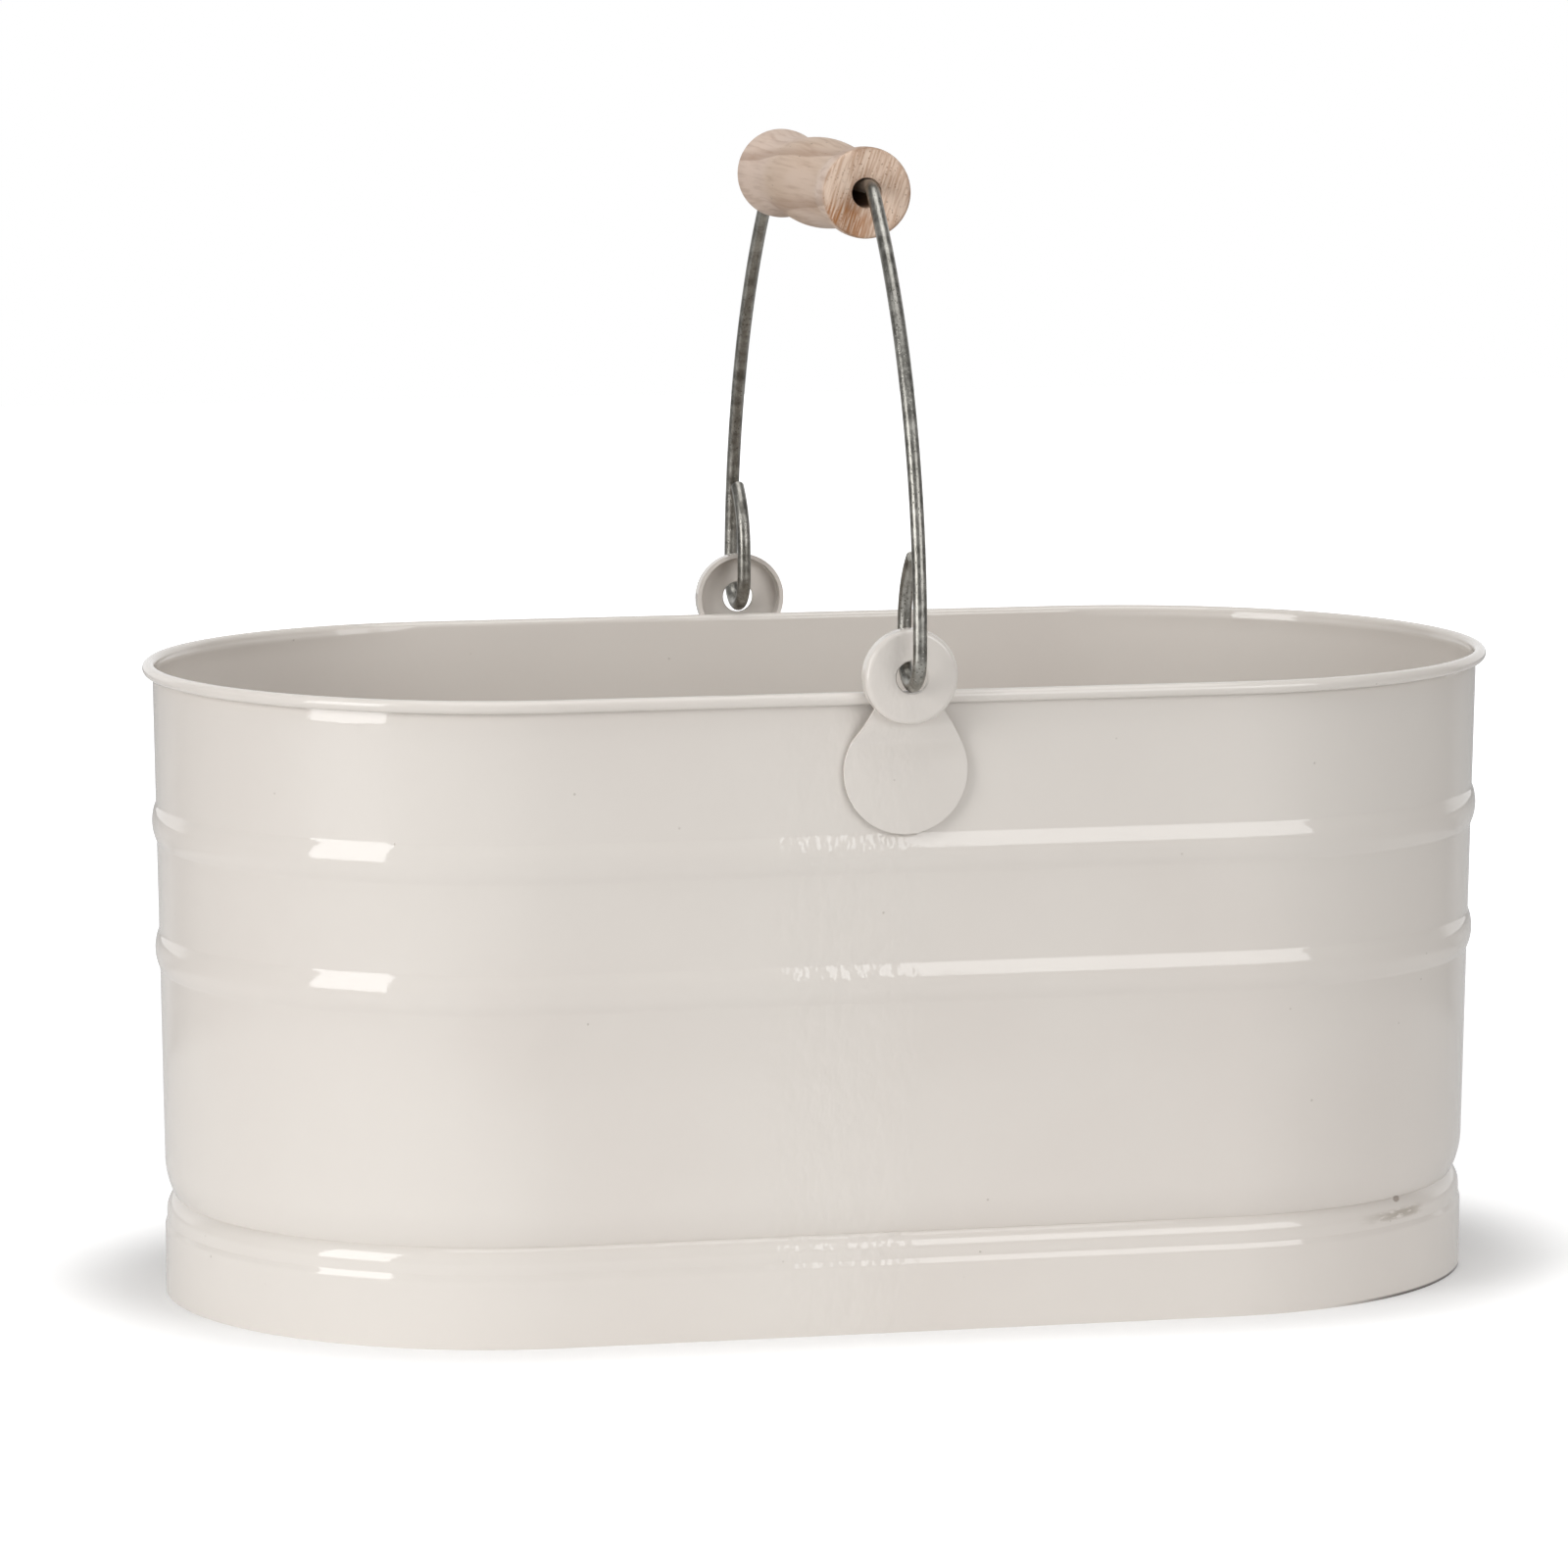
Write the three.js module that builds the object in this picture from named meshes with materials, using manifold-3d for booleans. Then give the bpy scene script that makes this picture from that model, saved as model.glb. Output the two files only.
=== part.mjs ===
// Oval utility bucket of sheet steel with a wire bail and a turned wooden grip.
// Millimetres, +Z up. The origin is on the floor, at the middle of the tub; X runs along the tub.
import * as THREE from "three";
import { mergeVertices } from "three/addons/utils/BufferGeometryUtils.js";
import Module from "manifold-3d";

const wasm = await Module();
wasm.setup();

// Tub, as seen from above: two half circles joined by straight sides
const rimLength = 400;
const rimWidth = 202;
const tubHeight = 184.8;

// Sheet steel of the wall, which leans in from the rim down to the groove
const sheet = 0.8;
const wallLean = 0.0178;
const seatGap = 0.3;

// Rolled rim, curled outwards round a stiffening wire
const rollDiameter = 3.7;
const rollSeamAngle = THREE.MathUtils.degToRad(68);

// Two beads swaged into the wall, as far below the rim's top as these
const beadDrops = [46.6, 83.8];
const beadHalfHeight = 6.2;
const beadProud = 1.25;
const beadFillet = 3;

// Groove that carries the floor, and the stepped foot below it
const grooveHeight = 28.6;
const grooveDepth = 2.9;
const grooveRun = 11.4;
const shoulderRun = 4.8;
const footStep = 0.55;
const footStepBottom = 19.4;

// Floor pan
const floorHeight = 31.8;
const panSheet = 0.8;
const panRimTop = 39;

// Ears, one at the middle of each long side, with the hole just above the rim
const earSheet = 1.2;
const earPlateDiameter = 36;
const earPlateDrop = 27.4;
const earCupDiameter = 27;
const earCupDepth = 5;
const earCupEdge = 1.6;
const earCupTrim = 0.2;
const earHoleDiameter = 9.2;
const earHoleRise = 4.6;
const earNeckWidth = 20;
const earJogRise = 5;

// Bail wire, bowed up to the grip above the rim
const wireDiameter = 4;
const bailReach = 139.2;
const gripBendRadius = 8;
const gripBendReach = 2.5;
const hookRadius = 8.7;
const armStraight = 2;
const tailStraight = 7.5;
const tailRise = 20;
const tailLean = 9;

// Turned wooden grip
const gripLength = 105;
const gripEndDiameter = 26.2;
const gripWaistDiameter = 23;
const gripSwellDiameter = 26.2;
const gripBore = 8.5;
const gripEdgeRound = 1.2;
const gripLip = 3;
const gripWaistAt = 34;

// How finely curves are drawn
const turnSteps = 40;
const wireSides = 12;
const bendSteps = 4;
const gripSteps = 12;
const roundSteps = 28;
const curlSteps = 12;
const hookSteps = 8;
const rimWireSides = 8;
const cupEdgeSteps = 3;

const rimRadius = rimWidth / 2;
const rollRadius = rollDiameter / 2;
const rollReach = rimRadius - rollRadius;
const rollHeight = tubHeight - rollRadius;
const sideHalf = rimLength / 2 - rimRadius;
const wallRadius = rimRadius - rollDiameter + sheet;
const grooveTop = grooveHeight + grooveRun;
const grooveBend = bendRadius(grooveRun, grooveDepth);
const wallLine = wallRadius - sheet / 2;
const beadHeights = beadDrops.map((drop) => tubHeight - drop);
const earHoleHeight = tubHeight + earHoleRise;
const earPlateHeight = earHoleHeight - earPlateDrop;
const earNeckHeight = earPlateHeight + earPlateDiameter / 2;
const bailRise = tubHeight + bailReach;
const wireRadius = wireDiameter / 2;

const paint = new THREE.MeshStandardMaterial({ color: 0xd9d5cc, roughness: 0.22, metalness: 0 });
const zinc = new THREE.MeshStandardMaterial({ color: 0x8f9194, roughness: 0.5, metalness: 1 });
const wood = new THREE.MeshStandardMaterial({ color: 0xd8b08c, roughness: 0.6, metalness: 0 });

// Radius of an arc that leaves its tangent by a depth over a run
function bendRadius(run, depth) {
  return (run ** 2 + depth ** 2) / (2 * depth);
}

function point(x, y) {
  return new THREE.Vector2(x, y);
}

function arc(cx, cy, radius, from, to, steps = bendSteps) {
  return Array.from({ length: steps + 1 }, (_, i) => {
    const angle = THREE.MathUtils.lerp(from, to, i / steps);
    return point(cx + radius * Math.cos(angle), cy + radius * Math.sin(angle));
  });
}

function closed(outline) {
  return [...outline, outline[0].clone()];
}

// The two faces of a sheet whose middle follows a line, as one outline that starts and ends beside
// the line's first point
function sheetOutline(line, thickness) {
  const offset = (side) =>
    line.map((p, i) => {
      const into = p.clone().sub(line[Math.max(i - 1, 0)]).normalize();
      const out = line[Math.min(i + 1, line.length - 1)].clone().sub(p).normalize();
      const along = into.clone().add(out).normalize();
      const mitre = Math.max(along.dot(into), along.dot(out));
      const reach = (side * thickness) / 2 / mitre;
      return point(p.x - along.y * reach, p.y + along.x * reach);
    });
  return [...offset(-1), ...offset(1).reverse()];
}

function solidOf(geometry) {
  const bare = geometry.clone();
  bare.deleteAttribute("normal");
  bare.deleteAttribute("uv");
  const merged = mergeVertices(bare);
  const vertProperties = merged.attributes.position.array;
  const triVerts = new Uint32Array(merged.index.array);
  return new wasm.Manifold(new wasm.Mesh({ numProp: 3, vertProperties, triVerts }));
}

function geometryOf(solid) {
  const mesh = solid.getMesh();
  const geometry = new THREE.BufferGeometry();
  geometry.setAttribute("position", new THREE.BufferAttribute(mesh.vertProperties, 3));
  geometry.setIndex(new THREE.BufferAttribute(mesh.triVerts, 1));
  geometry.computeVertexNormals();
  return geometry;
}

// An outline of radius and height turned into an oval: a lathe whose halves stand apart along X.
// Its flat steps touch the true curve, so sizes across it are the ones asked for.
function ovalTurned(outline) {
  const halfStep = Math.PI / turnSteps;
  const circumscribed = outline.map((p) => point(p.x / Math.cos(halfStep), p.y));
  const geometry = new THREE.LatheGeometry(circumscribed, turnSteps, halfStep);
  geometry.rotateX(Math.PI / 2);
  const position = geometry.attributes.position;
  for (let i = 0; i < position.count; i++) {
    const station = Math.floor(i / outline.length);
    const side = Math.sign(Math.sin(halfStep * (1 + 2 * station)));
    position.setX(i, position.getX(i) + side * sideHalf);
  }
  return geometry;
}

// The wall leans above the groove and stands straight below it
function leaned(line) {
  return line.map((p) => {
    const drop = rollHeight - THREE.MathUtils.clamp(p.y, grooveTop, rollHeight);
    return point(p.x - wallLean * drop, p.y);
  });
}

// A bead is a crown with a fillet above and below it, all tangent to the wall
function beadLine(height) {
  const turn = 2 * Math.atan(beadProud / beadHalfHeight);
  const crown = beadHalfHeight / Math.sin(turn) - beadFillet;
  return [
    point(wallLine, height + beadHalfHeight),
    ...arc(wallLine + beadProud - crown, height, crown, turn, -turn),
    point(wallLine, height - beadHalfHeight),
  ];
}

// Groove curve of the wall, or of a sheet nested inside it, down to the height where it ends
function grooveCurve(inset, from, to) {
  const radius = grooveBend - inset;
  const angle = (height) => Math.asin((height - grooveTop) / radius);
  return arc(wallLine - grooveBend, grooveTop, radius, angle(from), angle(to));
}

function tubWall() {
  const curl = arc(
    rollReach,
    rollHeight,
    rollRadius - sheet / 2,
    rollSeamAngle - Math.PI,
    Math.PI,
    curlSteps,
  );
  const shoulderDepth = grooveDepth - footStep;
  const shoulder = bendRadius(shoulderRun, shoulderDepth);
  const shoulderBottom = grooveHeight - shoulderRun;
  const line = [
    ...curl,
    ...beadHeights.flatMap(beadLine),
    ...grooveCurve(0, grooveTop, grooveHeight),
    ...arc(
      wallLine - footStep - shoulder,
      shoulderBottom,
      shoulder,
      Math.asin(shoulderRun / shoulder),
      0,
    ).slice(1),
    point(wallLine, footStepBottom),
    point(wallLine, 0),
  ];
  return ovalTurned(closed(sheetOutline(leaned(line), sheet)));
}

function floorPan() {
  const nest = sheet / 2 + seatGap + panSheet / 2;
  const rim = leaned(grooveCurve(nest, floorHeight, panRimTop));
  return ovalTurned(sheetOutline([point(0, floorHeight), ...rim], panSheet));
}

function rimWire() {
  const radius = rollRadius - sheet - seatGap;
  const section = arc(rollReach, rollHeight, radius, 0, 2 * Math.PI, rimWireSides);
  return ovalTurned(section);
}

// The front ear: a plate against the wall, a jog out past the rim and a cup around the hole.
// The plate and neck are a bent strip, trimmed to their outline.
const earPlateBack = wallRadius + seatGap;
const earNeckBack = rimRadius + seatGap;
const earFace = earNeckBack + earCupDepth;

function earStrip() {
  const middle = earSheet / 2;
  const jogTop = earHoleHeight - earCupDiameter / 2 - middle;
  const bend = [
    point(earPlateBack + middle, earPlateHeight - earPlateDiameter),
    point(earPlateBack + middle, jogTop - earJogRise),
    point(earNeckBack + middle, jogTop),
    point(earNeckBack + middle, earHoleHeight + earCupDiameter),
  ];
  const strip = new THREE.ExtrudeGeometry(new THREE.Shape(sheetOutline(bend, earSheet)), {
    depth: 2 * earPlateDiameter,
    bevelEnabled: false,
  });
  strip.translate(0, 0, -earPlateDiameter);
  const outwards = new THREE.Vector3(0, -1, 0);
  const up = new THREE.Vector3(0, 0, 1);
  strip.applyMatrix4(new THREE.Matrix4().makeBasis(outwards, up, outwards.clone().cross(up)));
  return solidOf(strip);
}

// The neck's sides run straight from their top to where they touch the plate's circle
function earTrim() {
  const plateRadius = earPlateDiameter / 2;
  const neck = point(earNeckWidth / 2, earNeckHeight - earPlateHeight);
  const touch = neck.angle() - Math.acos(plateRadius / neck.length());
  const outline = new THREE.Shape([
    point(-neck.x, earHoleHeight),
    point(-neck.x, earNeckHeight),
    ...arc(0, earPlateHeight, plateRadius, Math.PI - touch, 2 * Math.PI + touch, roundSteps),
    point(neck.x, earNeckHeight),
    point(neck.x, earHoleHeight),
  ]);
  const trim = new THREE.ExtrudeGeometry(outline, { depth: 2 * earFace, bevelEnabled: false });
  return solidOf(trim.rotateX(Math.PI / 2));
}

function earCup() {
  const radius = earCupDiameter / 2;
  const hole = earHoleDiameter / 2;
  const back = -earNeckBack - earCupTrim;
  const section = closed([
    point(hole, -earFace),
    ...arc(radius - earCupEdge, earCupEdge - earFace, earCupEdge, -Math.PI / 2, 0, cupEdgeSteps),
    point(radius, back),
    point(radius - earSheet, back),
    point(radius - earSheet, earCupEdge - earFace),
    point(radius - earCupEdge, earSheet - earFace),
    point(hole, earSheet - earFace),
  ]);
  return solidOf(new THREE.LatheGeometry(section, roundSteps).translate(0, 0, earHoleHeight));
}

function ear() {
  const bore = (earCupDiameter - earSheet) / 2;
  const core = new THREE.CylinderGeometry(bore, bore, 2 * earFace, roundSteps);
  core.translate(0, 0, earHoleHeight);
  return geometryOf(earStrip().intersect(earTrim()).subtract(solidOf(core)).add(earCup()));
}

// The bail lies on the bottom of the ears' holes and turns about the line through both
const hingeHeight = earHoleHeight - earHoleDiameter / 2 + seatGap + wireRadius;

// Half of the bail's middle line, from the grip's bend to the end of the tail inside the tub
function bailHalf() {
  const hookY = earFace - earSheet / 2;
  const hookZ = hingeHeight + hookRadius;
  const armY = hookY + hookRadius;
  const tailY = hookY - hookRadius;
  const bendY = gripLength / 2 + gripBendReach;
  const bendZ = bailRise - gripBendRadius;
  const bowZ = hookZ + armStraight;
  const across = armY - bendY;
  const rise = bailRise - bowZ;
  const bow = (across ** 2 + rise ** 2 - 2 * rise * gripBendRadius) / (2 * (across - gripBendRadius));
  const bowY = armY - bow;
  const turn = Math.atan2(bendZ - bowZ, bendY - bowY);
  const tailFrom = point(tailY, hookZ + tailStraight);
  const tail = new THREE.QuadraticBezierCurve(
    tailFrom,
    point(tailY, tailFrom.y + tailRise / 2),
    point(tailY + tailLean, tailFrom.y + tailRise),
  );
  return [
    ...arc(bendY, bendZ, gripBendRadius, Math.PI / 2, turn, bendSteps),
    ...arc(bowY, bowZ, bow, turn, 0, hookSteps).slice(1),
    ...arc(hookY, hookZ, hookRadius, 0, -Math.PI, hookSteps),
    ...tail.getPoints(bendSteps),
  ];
}

// A wire bent in the YZ plane, with one station at each point of its middle line
class BentWire extends THREE.Curve {
  constructor(line) {
    super();
    this.line = line.map((p) => new THREE.Vector3(0, p.x, p.y));
  }
  getPoint(t) {
    const place = t * (this.line.length - 1);
    const before = Math.min(Math.floor(place), this.line.length - 2);
    return this.line[before].clone().lerp(this.line[before + 1], place - before);
  }
  getPointAt(t) {
    return this.getPoint(t);
  }
  getTangentAt(t) {
    return this.getTangent(t);
  }
}

function bailWire() {
  const half = bailHalf();
  const line = [...half.map((p) => point(-p.x, p.y)).reverse(), ...half];
  const section = new THREE.Shape(arc(0, 0, wireRadius, 0, 2 * Math.PI, wireSides).slice(1));
  return new THREE.ExtrudeGeometry(section, {
    steps: line.length - 1,
    extrudePath: new BentWire(line),
  });
}

// The grip hangs on the wire, so its bore lies below the wire's middle line
function woodenGrip() {
  const half = gripLength / 2;
  const end = gripEndDiameter / 2;
  const side = new THREE.SplineCurve([
    point(end, gripLip - half),
    point(gripWaistDiameter / 2, -gripWaistAt),
    point(gripSwellDiameter / 2, 0),
    point(gripWaistDiameter / 2, gripWaistAt),
    point(end, half - gripLip),
  ]);
  const section = closed([
    point(gripBore / 2, -half),
    point(end - gripEdgeRound, -half),
    point(end, gripEdgeRound - half),
    ...side.getPoints(gripSteps),
    point(end, half - gripEdgeRound),
    point(end - gripEdgeRound, half),
    point(gripBore / 2, half),
  ]);
  return new THREE.LatheGeometry(section, roundSteps);
}

function namedMesh(name, geometry, material) {
  const mesh = new THREE.Mesh(geometry, material);
  mesh.name = name;
  return mesh;
}

const earShape = ear();
const earBack = namedMesh("ear_back", earShape, paint);
earBack.rotation.z = Math.PI;
const grip = namedMesh("wooden_grip", woodenGrip(), wood);
grip.position.z = bailRise - gripBore / 2 + wireRadius + seatGap;

const bucket = new THREE.Group();
bucket.add(
  namedMesh("tub_wall", tubWall(), paint),
  namedMesh("floor_pan", floorPan(), paint),
  namedMesh("rim_wire", rimWire(), zinc),
  namedMesh("ear_front", earShape, paint),
  earBack,
  namedMesh("bail_wire", bailWire(), zinc),
  grip,
);

export default bucket;
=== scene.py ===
import math

import bpy
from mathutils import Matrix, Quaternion, Vector


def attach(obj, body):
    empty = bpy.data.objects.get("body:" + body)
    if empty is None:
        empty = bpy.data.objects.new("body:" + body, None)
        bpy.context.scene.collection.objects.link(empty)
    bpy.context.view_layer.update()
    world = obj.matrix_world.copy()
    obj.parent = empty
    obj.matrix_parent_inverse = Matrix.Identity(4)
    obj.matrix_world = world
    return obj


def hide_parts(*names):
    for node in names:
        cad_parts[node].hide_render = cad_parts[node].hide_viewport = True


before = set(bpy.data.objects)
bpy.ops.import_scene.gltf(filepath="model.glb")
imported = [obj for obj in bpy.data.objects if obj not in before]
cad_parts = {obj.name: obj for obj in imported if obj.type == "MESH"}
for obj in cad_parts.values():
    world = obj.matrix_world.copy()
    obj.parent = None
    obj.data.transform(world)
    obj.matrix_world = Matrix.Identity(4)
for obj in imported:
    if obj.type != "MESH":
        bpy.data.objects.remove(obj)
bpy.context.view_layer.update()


# The camera stands 2.3 m away with a long lens, a little above the rim, and turned towards the
# tub's left end, as the photograph was taken.
CAMERA_AZIMUTH = math.radians(-13.772)
CAMERA_ELEVATION = math.radians(7.699)
CAMERA_ROLL = math.radians(0.148)
CAMERA_DISTANCE = 2.28708
CAMERA_TARGET = Vector((-0.01103, 0, 0.14552))
SENSOR = 36
LENS = 178.518

camera_data = bpy.data.cameras.new("camera")
camera_data.sensor_width = SENSOR
camera_data.lens = LENS
camera = bpy.data.objects.new("camera", camera_data)
bpy.context.scene.collection.objects.link(camera)
back = Vector((
    math.sin(CAMERA_AZIMUTH) * math.cos(CAMERA_ELEVATION),
    -math.cos(CAMERA_AZIMUTH) * math.cos(CAMERA_ELEVATION),
    math.sin(CAMERA_ELEVATION),
))
camera.location = CAMERA_TARGET + back * CAMERA_DISTANCE
camera.rotation_mode = "QUATERNION"
camera.rotation_quaternion = (-back).to_track_quat("-Z", "Y") @ Quaternion((0, 0, 1), CAMERA_ROLL)
bpy.context.scene.camera = camera


# The studio: white paper lies on the table round the tub, the wall behind it is white, and the
# sides of the room are darker. The camera sees it all as plain white, with the tub's shadow.
# Distances are in metres, and shades run from 0 for black to 1 for white.
FLOOR_SIZE = 6
PAPER_EDGE = 0.40
PAPER_HALF = 0.17
PAPER_SOFT = 0.03
PAPER_WHITE = 0.95
WALL_SLANT = 0.227
WALL_EDGE = 0.62
WALL_SOFT = 0.1
ROOM_SHADE = 0.25
FLOOR_SHADE = 0.5
ROOM_LIGHT = 0.28
FOOT_HALF = 0.099
SHADOW_EDGE = (0.098, 0.15)
FAR_EDGE = (0.25, 0.8)
GLOW_CLEAR = 0.42
GLOW_FAR = 0.5
GLOW_ALL = 0.04


class Tone:
    """One socket of a finish. Arithmetic on it adds the Math nodes."""

    def __init__(self, finish, socket):
        self.finish = finish
        self.socket = socket

    def maths(self, operation, *values):
        return self.finish.add(
            "ShaderNodeMath", {"operation": operation}, dict(enumerate(values))
        )

    def __add__(self, other):
        return self.maths("ADD", self, other)

    def __sub__(self, other):
        return self.maths("SUBTRACT", self, other)

    def __rsub__(self, other):
        return self.maths("SUBTRACT", other, self)

    def __mul__(self, other):
        return self.maths("MULTIPLY", self, other)

    def __truediv__(self, other):
        return self.maths("DIVIDE", self, other)

    def __pow__(self, other):
        return self.maths("POWER", self, other)

    def __abs__(self):
        return self.maths("ABSOLUTE", self)

    def at_least(self, other):
        return self.maths("MAXIMUM", self, other)

    def fraction(self):
        return self.maths("FRACT", self)

    __radd__ = __add__
    __rmul__ = __mul__


def distance(first, second):
    return (first * first + second * second) ** 0.5


def grey(shade):
    return (shade, shade, shade, 1)


class Finish:
    """The nodes of a material or of the world. Each of them comes from add."""

    def __init__(self, owner):
        self.owner = owner
        owner.use_nodes = True
        self.tree = owner.node_tree
        self.tree.nodes.clear()

    def add(self, kind, settings=None, inputs=None, output=0):
        node = self.tree.nodes.new(kind)
        for key, value in (settings or {}).items():
            setattr(node, key, value)
        for key, value in (inputs or {}).items():
            if isinstance(value, Tone):
                self.tree.links.new(value.socket, node.inputs[key])
            else:
                node.inputs[key].default_value = value
        return Tone(self, node.outputs[output]) if len(node.outputs) else None

    def place(self, stretch=(1, 1, 1), turn=(0, 0, 0), move=(0, 0, 0)):
        """Object coordinates, turned, moved and then stretched."""
        coordinates = self.add("ShaderNodeTexCoord", output="Object")
        moved = self.add(
            "ShaderNodeMapping", {}, {"Vector": coordinates, "Location": move, "Rotation": turn}
        )
        return self.add("ShaderNodeMapping", {}, {"Vector": moved, "Scale": stretch})

    def axis(self, vector, name):
        return self.add("ShaderNodeSeparateXYZ", {}, {0: vector}, name)

    def noise(self, place, scale, detail=3, roughness=0.5):
        return self.add("ShaderNodeTexNoise", {}, {
            "Vector": place, "Scale": scale, "Detail": detail, "Roughness": roughness,
        })

    def spots(self, place, scale):
        """Distance to the nearest of many scattered points."""
        return self.add("ShaderNodeTexVoronoi", {}, {"Vector": place, "Scale": scale})

    def band(self, value, start, end):
        """0 before start and 1 after end, smooth between them."""
        return self.add("ShaderNodeMapRange", {"interpolation_type": "SMOOTHSTEP"}, {
            "Value": value, "From Min": start, "From Max": end,
        })

    def between(self, value, start, full, fade, end):
        """1 from full to fade, and 0 outside start and end."""
        return self.band(value, start, full) * (1 - self.band(value, fade, end))

    def blend(self, share, first, second):
        return self.add(
            "ShaderNodeMix", {"data_type": "RGBA"}, {0: share, 6: first, 7: second}, output=2
        )

    def bump(self, height, strength, distance, normal=None):
        inputs = {"Height": height, "Strength": strength, "Distance": distance}
        if normal:
            inputs["Normal"] = normal
        return self.add("ShaderNodeBump", {}, inputs)

    def surface(self, **inputs):
        named = {key.replace("_", " "): value for key, value in inputs.items()}
        return self.done(self.add("ShaderNodeBsdfPrincipled", {}, named))

    def done(self, shader, output="ShaderNodeOutputMaterial"):
        self.add(output, {}, {"Surface": shader})
        return self.owner


def nothing_selected():
    if bpy.context.object and bpy.context.object.mode == "EDIT":
        bpy.ops.object.mode_set(mode="OBJECT")
    bpy.ops.object.select_all(action="DESELECT")


nothing_selected()
bpy.ops.mesh.primitive_plane_add(size=FLOOR_SIZE)
floor = bpy.context.object
floor.name = "floor"
paper = Finish(bpy.data.materials.new("paper"))
flat = paper.place()
across, deep = paper.axis(flat, "X"), paper.axis(flat, "Y")


def from_middle(half):
    """Distance on the floor from the tub's middle line, which is this long each way."""
    return distance((abs(across) - half).at_least(0.0), deep)


from_tub = from_middle(PAPER_HALF)
bearing = (deep + across * WALL_SLANT) / distance(across, deep)
behind = paper.band(bearing, WALL_EDGE - WALL_SOFT, WALL_EDGE + WALL_SOFT)
near = 1 - paper.band(from_tub, PAPER_EDGE - PAPER_SOFT, PAPER_EDGE + PAPER_SOFT)
seen = paper.add("ShaderNodeLightPath", output="Is Camera Ray")
white = near.at_least(behind).at_least(seen)
matt = paper.add("ShaderNodeBsdfDiffuse", {}, {
    "Color": paper.blend(white, grey(FLOOR_SHADE), grey(PAPER_WHITE)),
})
# A glow that only the camera sees keeps the floor white outside the tub's shadow
clear = paper.band(from_middle(FOOT_HALF), *SHADOW_EDGE)
far = paper.band(from_tub, *FAR_EDGE)
glow = paper.add("ShaderNodeEmission", {}, {
    "Strength": seen * (clear * GLOW_CLEAR + far * GLOW_FAR + GLOW_ALL),
})
floor.data.materials.append(paper.done(paper.add("ShaderNodeAddShader", {}, {0: matt, 1: glow})))

world = bpy.data.worlds.new("studio")
bpy.context.scene.world = world
room = Finish(world)
facing = room.add("ShaderNodeTexCoord", output="Generated")
sideways, ahead = room.axis(facing, "X"), room.axis(facing, "Y")
backdrop = room.band(
    ahead + sideways * WALL_SLANT, WALL_EDGE - WALL_SOFT, WALL_EDGE + WALL_SOFT
)
mirrored = room.blend(backdrop, grey(ROOM_SHADE), grey(1))
glossy = room.add("ShaderNodeLightPath", output="Is Glossy Ray")
camera_ray = room.add("ShaderNodeLightPath", output="Is Camera Ray")
sky = room.blend(camera_ray, room.blend(glossy, grey(ROOM_LIGHT), mirrored), grey(1))
sky_light = room.add("ShaderNodeBackground", {}, {"Color": sky, "Strength": 1.0})
room.done(sky_light, "ShaderNodeOutputWorld")

# Softboxes: name, place, point faced, width, height and brightness
SOFTBOXES = [
    ("softbox_left", (-1.249, -0.688, 0.56), (0, 0, 0.56), 0.65, 1.06, 5.3),
    ("softbox_right", (0.91, -1.6, 0.77), (0, 0, 0.77), 1.0, 1.0, 3.4),
    ("softbox_top", (0, -0.35, 2.2), (0, 0, 0), 1.5, 1.5, 2.4),
]
for name, spot, faced, width, height, brightness in SOFTBOXES:
    lamp_data = bpy.data.lights.new(name, "AREA")
    lamp_data.shape = "RECTANGLE"
    lamp_data.size = width
    lamp_data.size_y = height
    lamp_data.energy = brightness * width * height * math.pi
    lamp = bpy.data.objects.new(name, lamp_data)
    bpy.context.scene.collection.objects.link(lamp)
    lamp.location = spot
    lamp.rotation_euler = (Vector(spot) - Vector(faced)).to_track_quat("Z", "Y").to_euler()

bpy.context.scene.view_settings.view_transform = "Standard"


# The tub wall is one sheet of steel, rolled to an oval and seamed. Its rim is curled outwards
# round a wire, two beads are swaged into it, and a groove above the foot carries the floor pan.
# It is dipped in a glossy cream enamel. Sizes are in mm from here on, and MM makes them metres.
MM = 0.001
SAME_POINT = 1e-6
SEAM = 1e-5
SHEET = 0.8
RIM_RADIUS = 101
SIDE_HALF = 99
RIM_TOP = 184.8
ROLL_RADIUS = 1.85
ROLL_SEAM = math.radians(68)
WALL_LEAN = 0.0178
BEADS = (138.2, 101.0)
BEAD_HALF = 6.2
BEAD_PROUD = 1.25
BEAD_FILLET = 3
GROOVE_HEIGHT = 28.6
GROOVE_DEPTH = 2.9
GROOVE_RUN = 11.4
SHOULDER_RUN = 4.8
FOOT_STEP = 0.55
FOOT_STEP_TOP = 23.8
FOOT_STEP_BOTTOM = 19.4
# The step's line: share of the step still left, and height above its bottom
FOOT_STEP_LINE = ((1, 2.0), (0.85, 1.5), (0.15, 0.5), (0, 0), (0, -1))
FOOT_MIDDLE = 10
END_STEPS = 96
NECK_RINGS = 10
NECK_RING_START = 0.5
NECK_RING_STEP = 0.75
NECK_HEIGHT = 6
NECK_DEPTH = 0.6
NECK_EASE = 2.2
NECK_FADE = 5
# Slight waves round the neck: share of its depth, number in a full turn, and start in radians
NECK_WAVES = ((0.12, 23, 0), (0.08, 41, 1))

ROLL_REACH = RIM_RADIUS - ROLL_RADIUS
ROLL_HEIGHT = RIM_TOP - ROLL_RADIUS
WALL_LINE = RIM_RADIUS - 2 * ROLL_RADIUS + SHEET / 2
GROOVE_TOP = GROOVE_HEIGHT + GROOVE_RUN


def bend_radius(run, depth):
    """Radius of an arc that leaves its tangent by a depth over a run."""
    return (run**2 + depth**2) / (2 * depth)


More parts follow.
